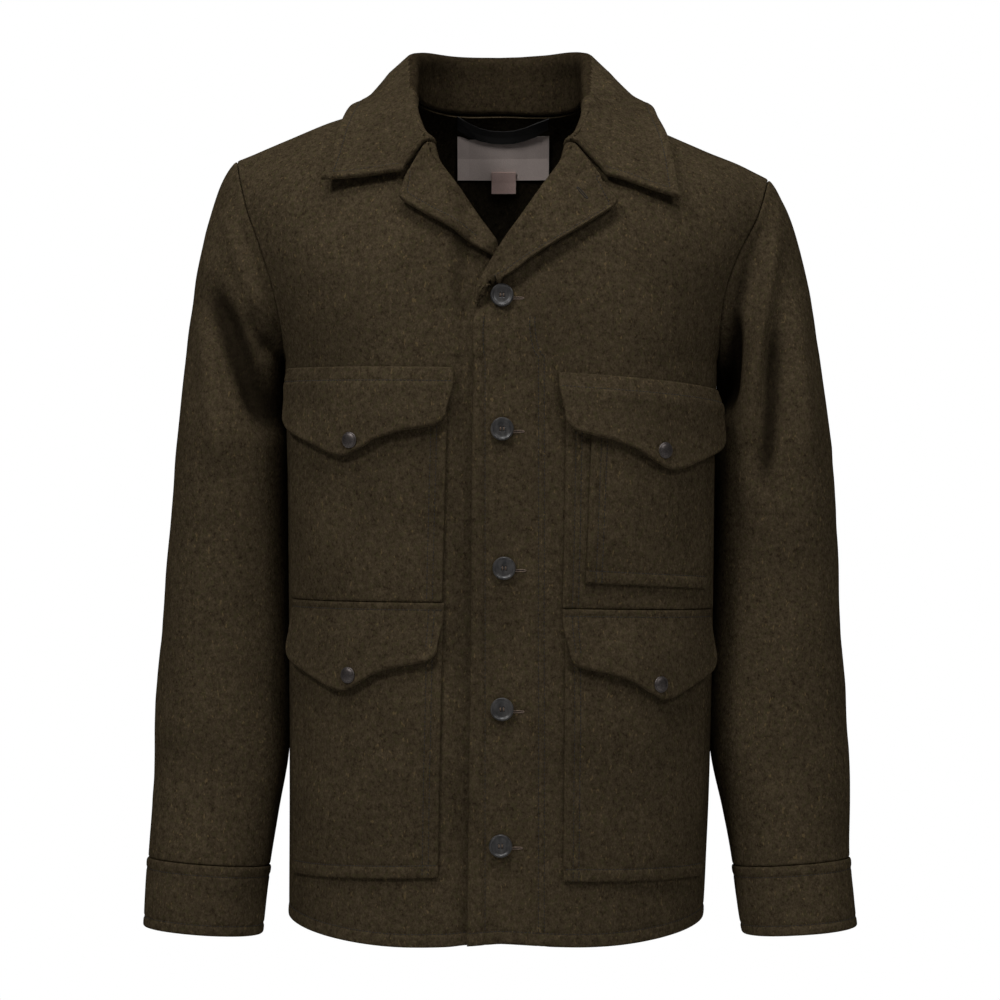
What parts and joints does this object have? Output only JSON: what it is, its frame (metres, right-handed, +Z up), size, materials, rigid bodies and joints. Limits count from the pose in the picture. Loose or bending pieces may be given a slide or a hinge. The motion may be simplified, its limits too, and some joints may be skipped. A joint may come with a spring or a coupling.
{
  "type": "wool jacket",
  "caption": "Hip-length button-front wool jacket with notched collar, snap-flap patch pockets and turned cuffs, filled out as if worn.",
  "frame": {"origin": "between the shoulders, at the height of the shoulder seams' neck ends, where a wearer's shoulders hold the jacket up", "axes": "+X towards the wearer's left, +Y towards the wearer's back, +Z up"},
  "size_m": [0.6316, 0.2793, 0.8002],
  "materials": {
    "wool": "matte napped heather wool",
    "horn": "dark horn-like, softly polished",
    "snap": "dark satin cap",
    "label": "woven, plain",
    "tab": "woven, plain",
    "tape": "dark woven tape"
  },
  "bodies": {
    "root": {"front_right": "wool", "front_left": "wool", "back": "wool", "sleeve_right": "wool", "sleeve_left": "wool", "cuff_right": "wool", "cuff_left": "wool", "collar": "wool", "lapel_right": "wool", "lapel_left": "wool", "upper_pocket_right": "wool", "upper_pocket_left": "wool", "compass_pocket": "wool", "lower_pocket_right": "wool", "lower_pocket_left": "wool", "upper_flap_right": "wool", "upper_flap_left": "wool", "lower_flap_right": "wool", "lower_flap_left": "wool", "upper_snap_right": "snap", "upper_snap_left": "snap", "lower_snap_right": "snap", "lower_snap_left": "snap", "button_1": "horn", "button_2": "horn", "button_3": "horn", "button_4": "horn", "button_5": "horn", "neck_label": "label", "size_tab": "tab", "hanger_loop": "tape"}
  },
  "joints": []
}
